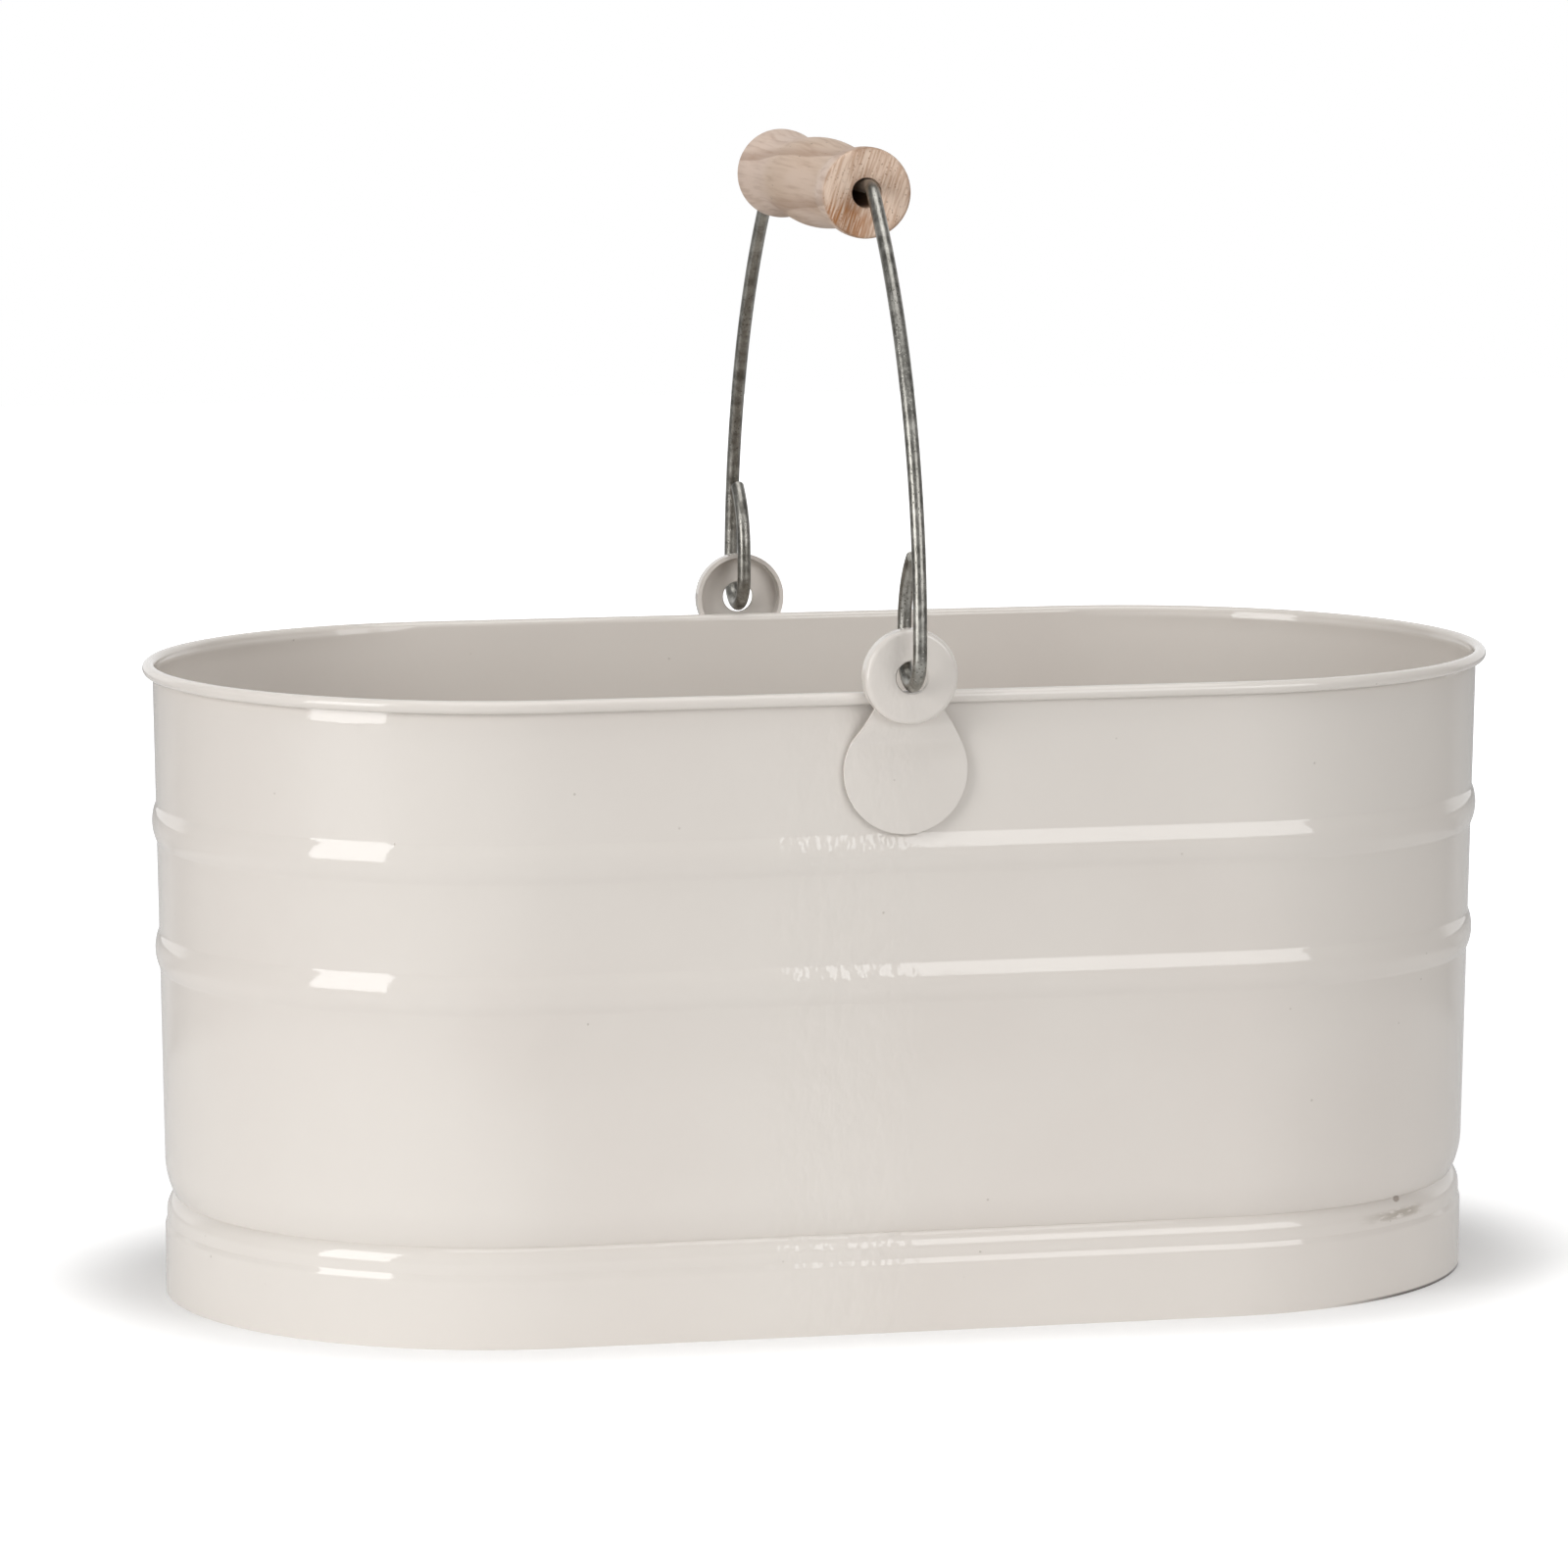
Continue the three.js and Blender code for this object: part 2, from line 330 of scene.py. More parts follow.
def arc(across, height, radius, start, end, steps):
    turns = [start + (end - start) * step / steps for step in range(steps + 1)]
    return [(across + radius * math.cos(t), height + radius * math.sin(t)) for t in turns]


def leaned(line):
    """The wall leans in below the rim, down to the groove."""
    drops = [ROLL_HEIGHT - min(max(height, GROOVE_TOP), ROLL_HEIGHT) for _, height in line]
    return [(x - WALL_LEAN * drop, z) for (x, z), drop in zip(line, drops)]


def bead(height):
    turn = 2 * math.atan(BEAD_PROUD / BEAD_HALF)
    crown = BEAD_HALF / math.sin(turn) - BEAD_FILLET
    edge = WALL_LINE + BEAD_FILLET
    return [
        *arc(edge, height + BEAD_HALF, BEAD_FILLET, math.pi, math.pi + turn, 4),
        *arc(WALL_LINE + BEAD_PROUD - crown, height, crown, turn, -turn, 16)[1:-1],
        *arc(edge, height - BEAD_HALF, BEAD_FILLET, math.pi - turn, math.pi, 4),
    ]


def in_front(line):
    """Points given across and up, stood in the plane through the tub's middle and front."""
    return [Vector((0, -across, up)) * MM for across, up in line]


def drawn(name, points):
    """A new piece that is a line of edges through points, left selected in edit mode."""
    nothing_selected()
    bpy.ops.mesh.primitive_plane_add(size=MM)
    piece = bpy.context.object
    piece.name = name
    bpy.ops.object.mode_set(mode="EDIT")
    bpy.ops.mesh.select_mode(type="VERT")
    bpy.ops.mesh.merge(type="CENTER")
    bpy.ops.transform.translate(value=points[0])
    for before, after in zip(points, points[1:]):
        bpy.ops.mesh.extrude_region_move(TRANSFORM_OT_translate={"value": after - before})
    bpy.ops.mesh.select_all(action="SELECT")
    return piece


def select_edges(piece, test):
    """Selects the piece's edges whose middle passes a test."""
    bpy.ops.mesh.select_mode(type="EDGE")
    bpy.ops.mesh.select_all(action="DESELECT")
    bpy.ops.object.mode_set(mode="OBJECT")
    vertices = piece.data.vertices
    for edge in piece.data.edges:
        first, second = (vertices[i].co for i in edge.vertices)
        edge.select = test((first + second) / 2)
    bpy.ops.object.mode_set(mode="EDIT")


def welded():
    """Joins points that meet, turns every face outwards and leaves edit mode."""
    bpy.ops.mesh.select_all(action="SELECT")
    bpy.ops.mesh.remove_doubles(threshold=SAME_POINT)
    bpy.ops.mesh.normals_make_consistent(inside=False)
    bpy.ops.object.mode_set(mode="OBJECT")


def both_halves(piece, axes):
    """Mirrors the modelled half and joins the two where they meet."""
    bpy.ops.object.mode_set(mode="OBJECT")
    mirror = piece.modifiers.new("halves", "MIRROR")
    mirror.use_axis = axes
    mirror.merge_threshold = SEAM
    bpy.ops.object.modifier_apply(modifier=mirror.name)
    bpy.ops.object.mode_set(mode="EDIT")
    welded()


def turned_to_oval(piece):
    """Sweeps a line on the tub's front into a half circle at each end, joined by straight sides."""
    end = SIDE_HALF * MM
    bpy.ops.transform.translate(value=(end, 0, 0))
    bpy.ops.mesh.spin(steps=END_STEPS, angle=math.pi, center=(end, 0, 0), axis=(0, 0, -1))
    select_edges(piece, lambda middle: abs(middle.x - end) < SAME_POINT and middle.y != 0)
    bpy.ops.mesh.extrude_region_move(TRANSFORM_OT_translate={"value": (-end, 0, 0)})
    both_halves(piece, (True, False, False))


def thickened(piece, thickness):
    solid = piece.modifiers.new("sheet", "SOLIDIFY")
    solid.thickness = thickness * MM
    solid.offset = 0
    solid.use_even_offset = True
    bpy.ops.object.modifier_apply(modifier=solid.name)


def smoothed(degrees=35):
    bpy.ops.object.shade_smooth_by_angle(angle=math.radians(degrees))


shoulder_depth = GROOVE_DEPTH - FOOT_STEP
shoulder = bend_radius(SHOULDER_RUN, shoulder_depth)
shoulder_turn = math.asin(SHOULDER_RUN / shoulder)
groove = bend_radius(GROOVE_RUN, GROOVE_DEPTH)
groove_turn = math.asin(GROOVE_RUN / groove)
wall_line = leaned([
    *arc(ROLL_REACH, ROLL_HEIGHT, ROLL_RADIUS - SHEET / 2, ROLL_SEAM - math.pi, math.pi, 30),
    *[(WALL_LINE, ROLL_HEIGHT - NECK_RING_START - i * NECK_RING_STEP) for i in range(NECK_RINGS)],
    *bead(BEADS[0]),
    *bead(BEADS[1]),
    *arc(WALL_LINE - groove, GROOVE_TOP, groove, 0, -groove_turn, 12),
    *arc(
        WALL_LINE - FOOT_STEP - shoulder, FOOT_STEP_TOP, shoulder, shoulder_turn, 0, 10
    )[1:],
    *[(WALL_LINE - share * FOOT_STEP, FOOT_STEP_BOTTOM + up) for share, up in FOOT_STEP_LINE],
    (WALL_LINE, FOOT_MIDDLE),
    (WALL_LINE, 0),
])
tub = drawn("tub_wall_enamelled", in_front(wall_line))
turned_to_oval(tub)
thickened(tub, SHEET)

# Curling the rim has drawn the sheet in a little below the roll, on the round ends only
for vertex in tub.data.vertices:
    fall = (ROLL_HEIGHT * MM - vertex.co.z) / (NECK_HEIGHT * MM)
    out = abs(vertex.co.x) - SIDE_HALF * MM
    radius = math.hypot(out, vertex.co.y)
    if out > 0 and 0 < fall < 1 and radius < (WALL_LINE + SHEET) * MM:
        swing = math.atan2(out, abs(vertex.co.y))
        share = math.sin(min(NECK_EASE * swing, math.pi / 2))
        waves = [size * math.sin(count * swing + start) for size, count, start in NECK_WAVES]
        fading = min(1, fall * NECK_FADE) * (1 - fall) ** 2
        inward = NECK_DEPTH * MM * share * sum(waves, 1) * fading
        vertex.co.y *= 1 - inward / radius
        vertex.co.x -= math.copysign(out, vertex.co.x) * inward / radius
smoothed()


def srgb(red, green, blue):
    """A colour as it looks, 0 to 255, as the numbers that a shader takes."""
    parts = [channel / 255 for channel in (red, green, blue)]
    return (*[p / 12.92 if p <= 0.04045 else ((p + 0.055) / 1.055) ** 2.4 for p in parts], 1)


CREAM = srgb(222, 216, 209)
CREAM_WARM = srgb(219, 212, 205)
GRIME = srgb(120, 100, 84)
SCUFF = srgb(150, 138, 122)
# Painted shade: the dark colour of the contact shadow under the foot's right end
CONTACT_SHADOW = srgb(58, 48, 42)
# Places of the marks on the front, in metres along the tub and up
FRONT_EDGE = (-0.04, -0.03)
SCUFF_ALONG = (0.138, 0.156, 0.160, 0.167)
SCUFF_UP = (0.0222, 0.0236, 0.0246, 0.0262)
CHIP_ALONG = 0.1552
CHIP_UP = 0.0283
CHIP_WIDE = 0.0016
CHIP_HIGH = 0.0012
# Place of the painted contact shadow along the foot's lowest edge, in metres up and along
SHADOW_LINE_UP = (0.0004, 0.0011)
SHADOW_LINE_ALONG = (0.125, 0.16)
RUNS_ALONG = (-0.05, -0.03, -0.002, 0.012)

enamel = Finish(bpy.data.materials.new("cream_enamel"))
here = enamel.place()
along, deep_in, height = (enamel.axis(here, name) for name in "XYZ")
front = 1 - enamel.band(deep_in, *FRONT_EDGE)
cloud = enamel.noise(here, scale=9, detail=4)
peel = enamel.noise(here, scale=900, detail=2)
sag = enamel.noise(here, scale=24, detail=2)
paint_colour = enamel.blend(enamel.band(cloud, 0.35, 0.7), CREAM, CREAM_WARM)
# Pinholes and specks of dust in the enamel, far apart
specks = enamel.spots(here, scale=140)
rare = enamel.noise(here, scale=60, detail=1)
speck = (1 - enamel.band(specks, 0.03, 0.07)) * enamel.band(rare, 0.6, 0.68)
paint_colour = enamel.blend(speck * 0.3, paint_colour, GRIME)
# A dirty scuff and a chip on the foot's right end, and a painted contact shadow, a dark line, along
# its lowest edge there
scratch = enamel.noise(enamel.place((1, 1, 4)), scale=260, detail=3)
scuff = enamel.between(along, *SCUFF_ALONG) * enamel.between(height, *SCUFF_UP) * front
paint_colour = enamel.blend(scuff * enamel.band(scratch, 0.3, 0.55) * 0.6, paint_colour, SCUFF)
chip_x, chip_z = (along - CHIP_ALONG) / CHIP_WIDE, (height - CHIP_UP) / CHIP_HIGH
chip = 1 - enamel.band(chip_x * chip_x + chip_z * chip_z + scratch * 1.6, 1.0, 1.5)
paint_colour = enamel.blend(chip * front * 0.55, paint_colour, GRIME)
# Painted contact shadow: a dark line along the lowest edge of the foot's right end, where the
# shadow under the foot falls
shadow_line = (1 - enamel.band(height, *SHADOW_LINE_UP)) * enamel.band(along, *SHADOW_LINE_ALONG) * front
paint_colour = enamel.blend(shadow_line * 0.85, paint_colour, CONTACT_SHADOW)
relief = enamel.bump(peel, strength=0.06, distance=0.0002)
relief = enamel.bump(sag, strength=0.08, distance=0.002, normal=relief)
# The enamel ran and rippled on the front, from the left of the near ear to just under it
ripple = enamel.noise(enamel.place((1, 1, 0.6)), scale=240, detail=2)
runs = enamel.between(along, *RUNS_ALONG) * front
relief = enamel.bump(ripple * runs, strength=1.0, distance=0.0004, normal=relief)
relief = enamel.bump(speck - chip * front, strength=0.4, distance=0.0002, normal=relief)
enamel_material = enamel.surface(
    Base_Color=paint_colour,
    Roughness=enamel.band(cloud, 0.2, 0.9) * 0.03 + 0.03,
    Normal=relief,
    Metallic=0.0,
)
tub.data.materials.append(enamel_material)
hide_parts("tub_wall")
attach(tub, "tub")


# The floor pan is a shallow dish of the same sheet, pressed to the tub's oval. Its edge is turned
# up and sits inside the groove, and it is enamelled together with the wall.
PAN_SHEET = 0.8
PAN_HEIGHT = 31.8
PAN_RIM_TOP = 39
PAN_GAP = 0.3
PAN_CORNER = 1.5
nest = SHEET / 2 + PAN_GAP + PAN_SHEET / 2
pan_bend = groove - nest
pan_low = math.asin((PAN_HEIGHT + PAN_CORNER - GROOVE_TOP) / pan_bend)
pan_high = math.asin((PAN_RIM_TOP - GROOVE_TOP) / pan_bend)
pan_side = leaned(arc(WALL_LINE - groove, GROOVE_TOP, pan_bend, pan_low, pan_high, 8))
corner = (pan_side[0][0] - PAN_CORNER, PAN_HEIGHT + PAN_CORNER)
pan_line = [
    *arc(*corner, PAN_CORNER, -math.pi / 2, 0, 5),
    *pan_side[1:],
]
pan = drawn("floor_pan_enamelled", in_front(pan_line[::-1]))
turned_to_oval(pan)
bpy.ops.object.mode_set(mode="EDIT")
select_edges(pan, lambda middle: middle.z < PAN_HEIGHT * MM + SAME_POINT)
bpy.ops.mesh.edge_face_add()
welded()
thickened(pan, PAN_SHEET)
smoothed()
pan.data.materials.append(enamel_material)
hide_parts("floor_pan")
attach(pan, "tub")


# Each ear is one pressing: a round plate spot-welded to the wall, a neck that steps out past the
# roll, and a dished cup with the hole that the bail hangs in.
EAR_SHEET = 1.2
PLATE_RADIUS = 18
PLATE_HEIGHT = 162
CUP_RADIUS = 13.5
CUP_DEPTH = 5
CUP_EDGE = 1.6
HOLE_RADIUS = 4.6
HOLE_HEIGHT = 189.4
NECK_HALF = 10
NECK_TOP = 180
JOG_RISE = 5
# The jog's lower bend, as points out from the plate and up from the bend. The upper is the same.
JOG_BEND = ((0, -1.2), (0.12, -0.2), (0.55, 0.9))
SEAT_GAP = 0.3
HOLE_BURR = 0.3
HOLE_EDGE = 0.35
EAR_STEPS = 72
STRIP_HALF = 1.2 * PLATE_RADIUS
STRIP_SPARE = 2
STRIP_OVERLAP = 3
# The tool that trims the plate starts this far behind it and is this deep
TRIM_BACK = 5
TRIM_DEPTH = 20
TRIM_ROUND = 0.55
TRIM_SEGMENTS = 4
TRIM_CORNER = math.radians(50)

plate_back = RIM_RADIUS - 2 * ROLL_RADIUS + SHEET + SEAT_GAP
cup_back = RIM_RADIUS + SEAT_GAP
cup_face = cup_back + CUP_DEPTH


def ear(name):
    """Cup turned on a lathe, joined to a bent and trimmed plate."""
    middle = EAR_SHEET / 2
    jog_top = HOLE_HEIGHT - CUP_RADIUS - middle
    plate_line, cup_line = plate_back + middle, cup_back + middle
    bend = [
        (plate_line, PLATE_HEIGHT - PLATE_RADIUS - STRIP_SPARE),
        *[(plate_line + out, jog_top - JOG_RISE + up) for out, up in JOG_BEND],
        *[(cup_line - out, jog_top - up) for out, up in reversed(JOG_BEND)],
        (cup_line, HOLE_HEIGHT - HOLE_RADIUS - STRIP_OVERLAP),
    ]
    strip = drawn(name, in_front(bend))
    bpy.ops.transform.translate(value=(-STRIP_HALF * MM, 0, 0))
    bpy.ops.mesh.extrude_region_move(
        TRANSFORM_OT_translate={"value": (2 * STRIP_HALF * MM, 0, 0)}
    )
    welded()
    thickened(strip, EAR_SHEET)

    neck_rise = NECK_TOP - PLATE_HEIGHT
    touch = math.atan2(neck_rise, NECK_HALF) - math.acos(
        PLATE_RADIUS / math.hypot(NECK_HALF, neck_rise)
    )
    round_part = arc(0, PLATE_HEIGHT, PLATE_RADIUS, math.pi - touch, 2 * math.pi + touch, EAR_STEPS)
    outline = [
        (-NECK_HALF, HOLE_HEIGHT), (-NECK_HALF, NECK_TOP), *round_part,
        (NECK_HALF, NECK_TOP), (NECK_HALF, HOLE_HEIGHT),
    ]
    trim = drawn("trim", [Vector((x, TRIM_BACK - plate_back, z)) * MM for x, z in outline])
    bpy.ops.mesh.edge_face_add()
    bpy.ops.mesh.extrude_region_move(TRANSFORM_OT_translate={"value": (0, -TRIM_DEPTH * MM, 0)})
    welded()

    section = [
        (HOLE_RADIUS + HOLE_BURR, cup_face - EAR_SHEET),
        (HOLE_RADIUS, cup_face - EAR_SHEET + HOLE_BURR),
        (HOLE_RADIUS, cup_face - HOLE_EDGE),
        (HOLE_RADIUS + HOLE_EDGE, cup_face),
        *[(x, -y) for x, y in arc(
            CUP_RADIUS - CUP_EDGE, CUP_EDGE - cup_face, CUP_EDGE, -math.pi / 2, 0, 8
        )],
        (CUP_RADIUS, cup_back),
        (CUP_RADIUS - EAR_SHEET, cup_back),
        (CUP_RADIUS - EAR_SHEET, cup_face - CUP_EDGE),
        (CUP_RADIUS - CUP_EDGE, cup_face - EAR_SHEET),
    ]
    section.append(section[0])
    cup = drawn("cup", [Vector((x, -out, HOLE_HEIGHT)) * MM for x, out in section])
    bpy.ops.mesh.remove_doubles(threshold=SAME_POINT)
    bpy.ops.mesh.spin(
        steps=EAR_STEPS, angle=2 * math.pi, center=(0, 0, HOLE_HEIGHT * MM), axis=(0, 1, 0)
    )
    welded()

    nothing_selected()
    bpy.ops.mesh.primitive_cylinder_add(
        vertices=EAR_STEPS, radius=(CUP_RADIUS - EAR_SHEET / 2) * MM, depth=2 * TRIM_DEPTH * MM,
        location=(0, -cup_back * MM, HOLE_HEIGHT * MM), rotation=(math.pi / 2, 0, 0),
    )
    core = bpy.context.object
    bpy.ops.object.transform_apply(location=True, rotation=True)

    bpy.ops.object.select_all(action="DESELECT")
    strip.select_set(True)
    bpy.context.view_layer.objects.active = strip
    for tool, operation in ((trim, "INTERSECT"), (core, "DIFFERENCE"), (cup, "UNION")):
        cut = strip.modifiers.new("cut", "BOOLEAN")
        cut.operation = operation
        cut.object = tool
        bpy.ops.object.modifier_apply(modifier=cut.name)
        bpy.data.objects.remove(tool)
        if operation == "INTERSECT":
            soft = strip.modifiers.new("edges", "BEVEL")
            soft.width = TRIM_ROUND * MM
            soft.segments = TRIM_SEGMENTS
            soft.limit_method = "ANGLE"
            soft.angle_limit = TRIM_CORNER
            bpy.ops.object.modifier_apply(modifier=soft.name)
    smoothed(30)
    return strip


ear_near = ear("ear_front_enamelled")
ear_near.data.materials.append(enamel_material)
bpy.ops.object.select_all(action="DESELECT")
ear_far = ear_near.copy()
ear_far.data = ear_near.data.copy()
ear_far.name = "ear_back_enamelled"
bpy.context.scene.collection.objects.link(ear_far)
ear_far.rotation_euler.z = math.pi
ear_far.select_set(True)
bpy.context.view_layer.objects.active = ear_far
bpy.ops.object.transform_apply(rotation=True)
for piece, node in ((ear_near, "ear_front"), (ear_far, "ear_back")):
    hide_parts(node)
    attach(piece, "tub")


# The bail is a length of galvanised wire, bent round formers: out of the grip, down in a long
# bow, then hooked inwards through the ear's hole, with the tail turned up inside the tub and bent
# a little back towards the arm. Its ends are cut square.
WIRE_RADIUS = 2
BAIL_TOP = 324
GRIP_HALF = 52.5
GRIP_BEND = 8
GRIP_REACH = 2.5
HOOK_RADIUS = 8.7
ARM_STRAIGHT = 2
TAIL_STRAIGHT = 7.5
TAIL_RISE = 20
TAIL_LEAN = 9
WIRE_SIDES = 24
CUT_EDGE = 0.25
CUT_PROUD = 0.2

hinge = HOLE_HEIGHT - HOLE_RADIUS + SEAT_GAP + WIRE_RADIUS
hook_across = cup_face - EAR_SHEET / 2
hook_height = hinge + HOOK_RADIUS
arm_across = hook_across + HOOK_RADIUS
bow_height = hook_height + ARM_STRAIGHT
bend_across = GRIP_HALF + GRIP_REACH
bend_height = BAIL_TOP - GRIP_BEND
span = arm_across - bend_across
rise = BAIL_TOP - bow_height
bow = (span**2 + rise**2 - 2 * rise * GRIP_BEND) / (2 * (span - GRIP_BEND))
bow_turn = math.atan2(bend_height - bow_height, bend_across - (arm_across - bow))
tail_bend = bend_radius(TAIL_RISE, TAIL_LEAN)
tail_turn = math.asin(TAIL_RISE / tail_bend)

nothing_selected()
bpy.ops.mesh.primitive_circle_add(
    vertices=WIRE_SIDES, radius=WIRE_RADIUS * MM, fill_type="NOTHING",
    location=(0, 0, BAIL_TOP * MM), rotation=(math.pi / 2, 0, 0),
)
bail = bpy.context.object
bail.name = "bail_wire_galvanised"
bpy.ops.object.transform_apply(location=True, rotation=True)
bpy.ops.object.mode_set(mode="EDIT")
bpy.ops.mesh.select_all(action="SELECT")


def bent(turn, across, height, steps):
    """Bends the selected end of the wire about a former, down towards the front."""
    bpy.ops.mesh.spin(
        steps=steps, angle=turn, center=(0, -across * MM, height * MM), axis=(-1, 0, 0)
    )


def straight(across, up, steps=1):
    for _ in range(steps):
        bpy.ops.mesh.extrude_region_move(TRANSFORM_OT_translate={
            "value": (0, -across * MM / steps, up * MM / steps)
        })


straight(bend_across, 0, steps=8)
bent(math.pi / 2 - bow_turn, bend_across, bend_height, steps=12)
bent(bow_turn, arm_across - bow, bow_height, steps=48)
straight(0, -ARM_STRAIGHT)
bent(math.pi, hook_across, hook_height, steps=28)
straight(0, TAIL_STRAIGHT, steps=2)
bent(tail_turn, hook_across - HOOK_RADIUS + tail_bend, hook_height + TAIL_STRAIGHT, steps=12)
# The cut end: a small bevelled edge and a flat face
bpy.ops.mesh.edge_face_add()
bpy.ops.mesh.inset(thickness=CUT_EDGE * MM, depth=CUT_PROUD * MM)
both_halves(bail, (False, True, False))
smoothed()

ZINC_DARK = srgb(122, 120, 114)
ZINC_LIGHT = srgb(184, 182, 175)
ZINC_PIT = srgb(52, 47, 40)
zinc = Finish(bpy.data.materials.new("galvanised_wire"))
here = zinc.place()
drawn_lines = zinc.noise(zinc.place((1, 1, 0.06)), scale=900)
mottle = zinc.noise(here, scale=260, detail=5, roughness=0.7)
patchy = zinc.noise(here, scale=70, detail=2)
pit = 1 - zinc.band(zinc.spots(here, scale=900), 0.1, 0.3)
zinc_colour = zinc.blend(zinc.band(mottle, 0.3, 0.75), ZINC_DARK, ZINC_LIGHT)
zinc_colour = zinc.blend(pit * zinc.band(patchy, 0.45, 0.6) * 0.7, zinc_colour, ZINC_PIT)
relief = zinc.bump(drawn_lines, strength=0.25, distance=0.0002)
relief = zinc.bump(mottle, strength=0.15, distance=0.0002, normal=relief)
relief = zinc.bump(1 - pit, strength=0.3, distance=0.0002, normal=relief)
zinc_material = zinc.surface(
    Base_Color=zinc_colour,
    Metallic=1.0,
    Roughness=zinc.band(mottle, 0.2, 0.8) * 0.2 + 0.26,
    Normal=relief,
)
bail.data.materials.append(zinc_material)
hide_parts("bail_wire")
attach(bail, "bail")


# The rim's stiffening wire is galvanised steel, bent to the oval. The rim is curled shut round
# it, so it is never seen, and the CAD piece stands for it.
rim_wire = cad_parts["rim_wire"]
rim_wire.data.materials.clear()
rim_wire.data.materials.append(zinc_material)


# The grip is turned from one piece of softwood, left bare: flared ends, two waists and a middle
# swell, bored right through. The grain runs along it, and the ends show sawn end grain.
GRIP_END = 13.1
GRIP_WAIST = 11.5
GRIP_SWELL = 13.1
GRIP_WAIST_AT = 34
GRIP_LIP = 2.5
GRIP_BORE = 4.25
GRIP_EDGE = 1.0
GRIP_STEPS = 96
OUTLINE_STEP = 2
# The bore's edge: distance in from the end, and out from the bore
BORE_EDGE = ((0, 0.5), (0.2, 0.15), (0.6, 0))
grip_height = BAIL_TOP - GRIP_BORE + WIRE_RADIUS + SEAT_GAP


def turning(along):
    """The turned outline's radius at a distance from the grip's middle."""
    along = abs(along)
    if along < GRIP_WAIST_AT:
        share = (1 + math.cos(math.pi * along / GRIP_WAIST_AT)) / 2
        return GRIP_WAIST + (GRIP_SWELL - GRIP_WAIST) * share
    share = (along - GRIP_WAIST_AT) / (GRIP_HALF - GRIP_LIP - GRIP_WAIST_AT)
    return GRIP_WAIST + (GRIP_END - GRIP_WAIST) * (1 - math.cos(math.pi * min(share, 1))) / 2


edge_arc = arc(GRIP_HALF - GRIP_EDGE, GRIP_END - GRIP_EDGE, GRIP_EDGE, math.pi / 2, 0, 5)
half_line = [
    *[(at, turning(at)) for at in range(0, int(GRIP_HALF - GRIP_LIP) + 1, OUTLINE_STEP)],
    *edge_arc,
    *[(GRIP_HALF - back, GRIP_BORE + out) for back, out in BORE_EDGE],
    (0, GRIP_BORE),
]
grip = drawn("wooden_grip_turned", in_front(half_line))
bpy.ops.mesh.spin(steps=GRIP_STEPS, angle=2 * math.pi, center=(0, 0, 0), axis=(0, 1, 0))
bpy.ops.mesh.select_all(action="SELECT")
bpy.ops.mesh.remove_doubles(threshold=SAME_POINT)
bpy.ops.mesh.normals_make_consistent(inside=False)
bpy.ops.transform.translate(value=(0, 0, grip_height * MM))
both_halves(grip, (False, True, False))
smoothed()

WOOD_PINK = srgb(216, 194, 178)
WOOD_TAN = srgb(205, 180, 158)
WOOD_BROWN = srgb(150, 116, 92)
WOOD_END = srgb(222, 198, 178)
WOOD_CUT = srgb(186, 150, 124)
WOOD_ORANGE = srgb(168, 112, 66)
WOOD_DIRT = srgb(96, 72, 54)
# Growth rings run round a heart that lies well above the grip and tilts along it
HEART_ABOVE = 46
HEART_ASIDE = 4
HEART_TILT = math.radians(6)
RINGS_PER_METRE = 62
LATE_WOOD = (0.72, 0.95, 0.96, 1.0)
SAW_SLANT = math.radians(-18)
PATCH_ASIDE = 6.5
PATCH_BELOW = 7.5
PATCH_EDGE = (6.5 * MM, 12.5 * MM)
END_GRAIN = ((GRIP_HALF - 0.7) * MM, (GRIP_HALF - 0.15) * MM)
BROWN_EDGE = ((GRIP_END - 1.5) * MM, (GRIP_END + 0.1) * MM)

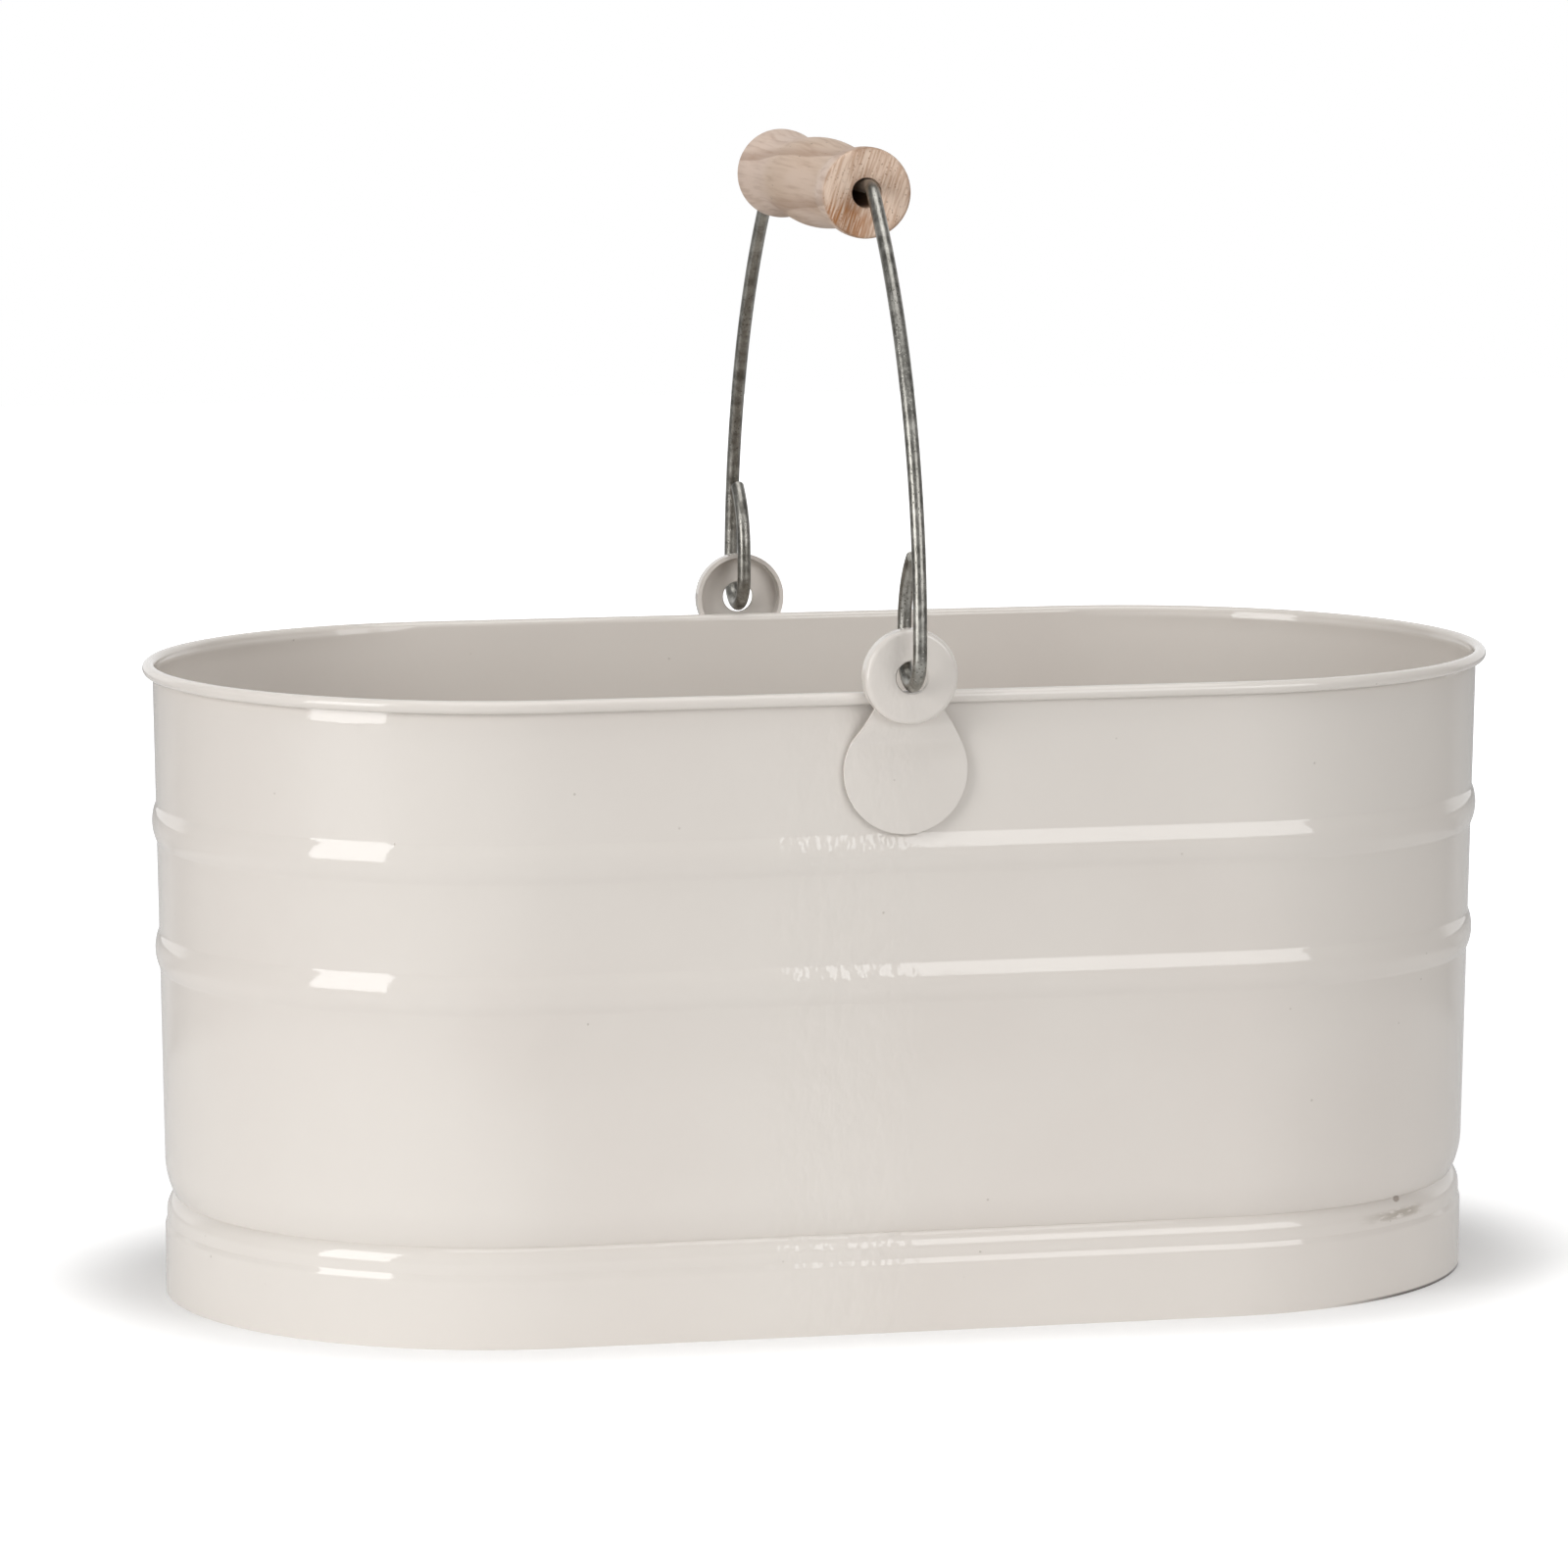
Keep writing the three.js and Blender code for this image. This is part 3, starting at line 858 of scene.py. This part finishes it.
pine = Finish(bpy.data.materials.new("bare_wood"))
heart = pine.place(
    (1, 0.06, 1), (HEART_TILT, 0, 0), (HEART_ASIDE * MM, 0, -(grip_height + HEART_ABOVE) * MM)
)
wander = pine.noise(pine.place((1, 0.25, 1)), scale=34, detail=2)
ring = distance(pine.axis(heart, "X"), pine.axis(heart, "Z")) * RINGS_PER_METRE + wander * 0.9
late = pine.between(ring.fraction(), *LATE_WOOD)
fibre = pine.noise(pine.place((1, 0.035, 1)), scale=700, detail=4)
blotch = pine.noise(pine.place((1, 0.4, 1)), scale=45)
side = pine.blend(pine.band(blotch, 0.35, 0.65), WOOD_PINK, WOOD_TAN)
side = pine.blend(pine.band(fibre, 0.42, 0.75) * 0.35, side, WOOD_BROWN)
side = pine.blend(late * 0.5, side, WOOD_BROWN)
# Sawn end grain, with torn fibres, an orange patch low on one side and a browner turned edge
middle = pine.place(move=(0, 0, -grip_height * MM))
aside, length, above = (pine.axis(middle, name) for name in "XYZ")
is_end = pine.band(abs(length), *END_GRAIN)
sawn = pine.noise(pine.place((1, 1, 0.09), (0, SAW_SLANT, 0)), scale=1500)
end_blotch = pine.noise(middle, scale=130)
end = pine.blend(pine.band(sawn, 0.38, 0.66) * 0.75, WOOD_END, WOOD_CUT)
torn = 1 - pine.band(pine.spots(middle, scale=900), 0.1, 0.35)
end = pine.blend(torn * pine.band(end_blotch, 0.4, 0.6) * 0.7, end, WOOD_BROWN)
from_patch = distance(aside + PATCH_ASIDE * MM, above + PATCH_BELOW * MM)
patch = 1 - pine.band(from_patch + end_blotch * 0.006, *PATCH_EDGE)
end = pine.blend(patch * pine.band(sawn, 0.25, 0.6), end, WOOD_ORANGE)
end = pine.blend(pine.band(end_blotch, 0.55, 0.75) * 0.25, end, WOOD_BROWN)
rim_out = pine.band(distance(aside, above), *BROWN_EDGE)
end = pine.blend(rim_out * pine.band(end_blotch, 0.35, 0.6) * 0.8, end, WOOD_BROWN)
wood_colour = pine.blend(is_end, side, end)
# Dirt in the open pores of the side and the ends
pores = 1 - pine.band(pine.spots(pine.place((1, 0.3, 1)), scale=420), 0.05, 0.16)
dirt = pores * pine.band(blotch, 0.5, 0.62)
wood_colour = pine.blend(dirt * 0.6, wood_colour, WOOD_DIRT)
relief = pine.bump(fibre, strength=0.2, distance=0.0002)
relief = pine.bump(sawn * is_end, strength=0.5, distance=0.0003, normal=relief)
relief = pine.bump(1 - dirt, strength=0.4, distance=0.0003, normal=relief)
grip.data.materials.append(pine.surface(
    Base_Color=wood_colour,
    Roughness=pine.band(fibre, 0.3, 0.8) * 0.15 + 0.55,
    Normal=relief,
))
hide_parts("wooden_grip")
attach(grip, "grip")
